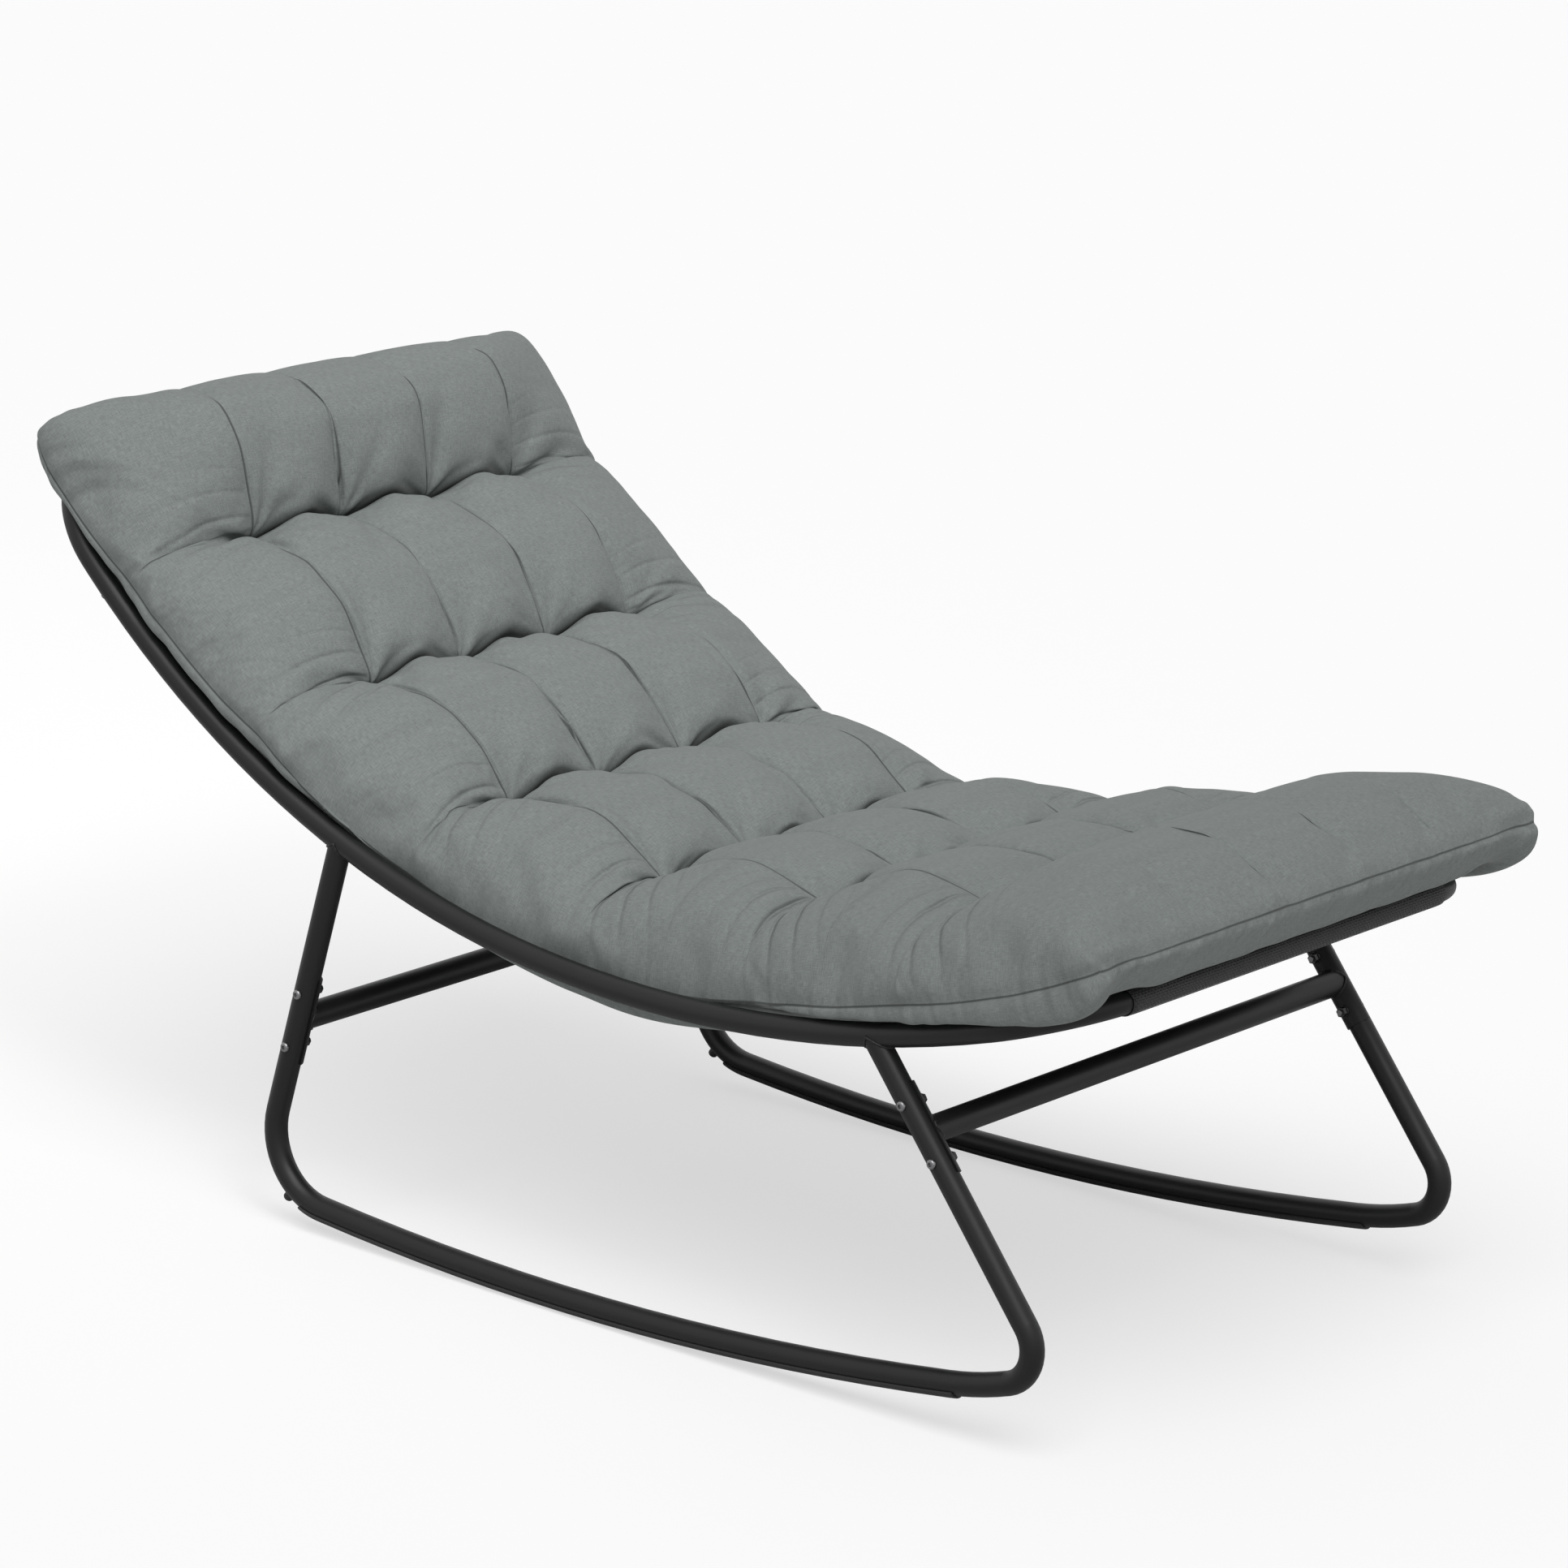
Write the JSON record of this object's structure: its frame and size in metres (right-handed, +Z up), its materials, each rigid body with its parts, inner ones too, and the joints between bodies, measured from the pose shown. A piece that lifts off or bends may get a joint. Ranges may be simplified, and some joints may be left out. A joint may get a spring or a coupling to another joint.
{
  "type": "outdoor rocking lounger",
  "caption": "Rocking lounge chair: black bent tube frame on curved runners, mesh sling between end rails, long tufted grey cushion that lifts off.",
  "frame": {"origin": "on the floor, midway between the two lines where the runners touch it", "axes": "+X to the sitter's left, +Y towards the head end, +Z up"},
  "size_m": [0.764, 1.4783, 0.8418],
  "materials": {
    "frame_paint": "satin black powder coat",
    "bright_steel": "plated steel",
    "dark_steel": "black oxide steel",
    "rubber": "matt moulded rubber",
    "sling_mesh": "open coated mesh",
    "cushion_cloth": "matt woven cloth"
  },
  "bodies": {
    "frame": {"front_cross_bar": "frame_paint", "front_left_saddle": "frame_paint", "front_leg_bolts": "bright_steel", "front_leg_nuts": "dark_steel", "front_leg_washers": "dark_steel", "front_rail": "frame_paint", "front_right_saddle": "frame_paint", "left_rear_stop": "rubber", "left_rocker": "frame_paint", "left_runner_strip": "rubber", "left_side_rail": "frame_paint", "rear_cross_bar": "frame_paint", "rear_left_saddle": "frame_paint", "rear_leg_bolts": "bright_steel", "rear_leg_nuts": "dark_steel", "rear_leg_washers": "dark_steel", "rear_right_saddle": "frame_paint", "right_rear_stop": "rubber", "right_rocker": "frame_paint", "right_runner_strip": "rubber", "right_side_rail": "frame_paint", "sling": "sling_mesh", "top_joint_screws": "bright_steel", "top_rail": "frame_paint"},
    "cushion": {"cushion": "cushion_cloth"}
  },
  "joints": [
    {"name": "cushion_lift", "type": "slide", "parent": "frame", "child": "cushion", "axis": [0, 0, 1], "range_m": [0, 0.5]}
  ]
}
